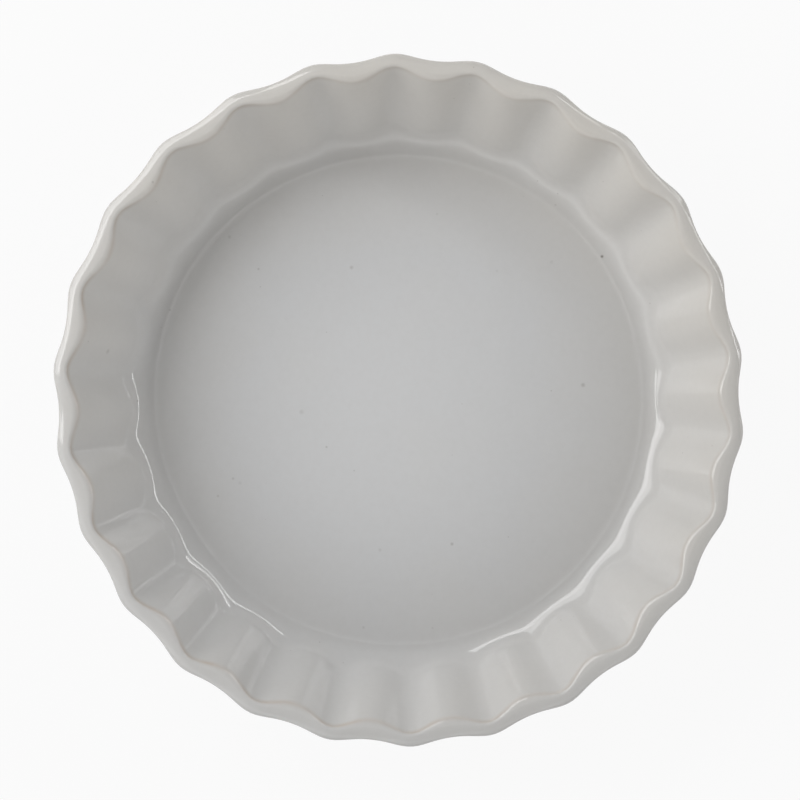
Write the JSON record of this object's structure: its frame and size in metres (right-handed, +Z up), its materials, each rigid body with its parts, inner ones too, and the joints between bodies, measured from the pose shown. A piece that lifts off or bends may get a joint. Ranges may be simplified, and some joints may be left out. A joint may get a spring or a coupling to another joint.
{
  "type": "pie dish",
  "caption": "Round fluted stoneware pie dish: scalloped rolled lip, leaning fluted wall, coved flat floor, glazed all over but a bare foot ring.",
  "frame": {"origin": "centre of the dish on the plane of its foot, at the bottom of its bounding box", "axes": "+Z up out of the dish along its axis of symmetry; +X through the crest of one flute"},
  "size_m": [0.275, 0.2734, 0.05],
  "materials": {
    "fired_clay": "bare fired stoneware, matt and finely gritty",
    "dish_glaze": "glossy off-white glaze with faint mottling, small iron specks and a thin tan line where it breaks over the lip's inner edge",
    "recess_glaze": "glossy off-white glaze"
  },
  "bodies": {
    "root": {"stoneware_body": "fired_clay", "glaze_coat": "dish_glaze", "base_glaze": "recess_glaze"}
  },
  "joints": []
}
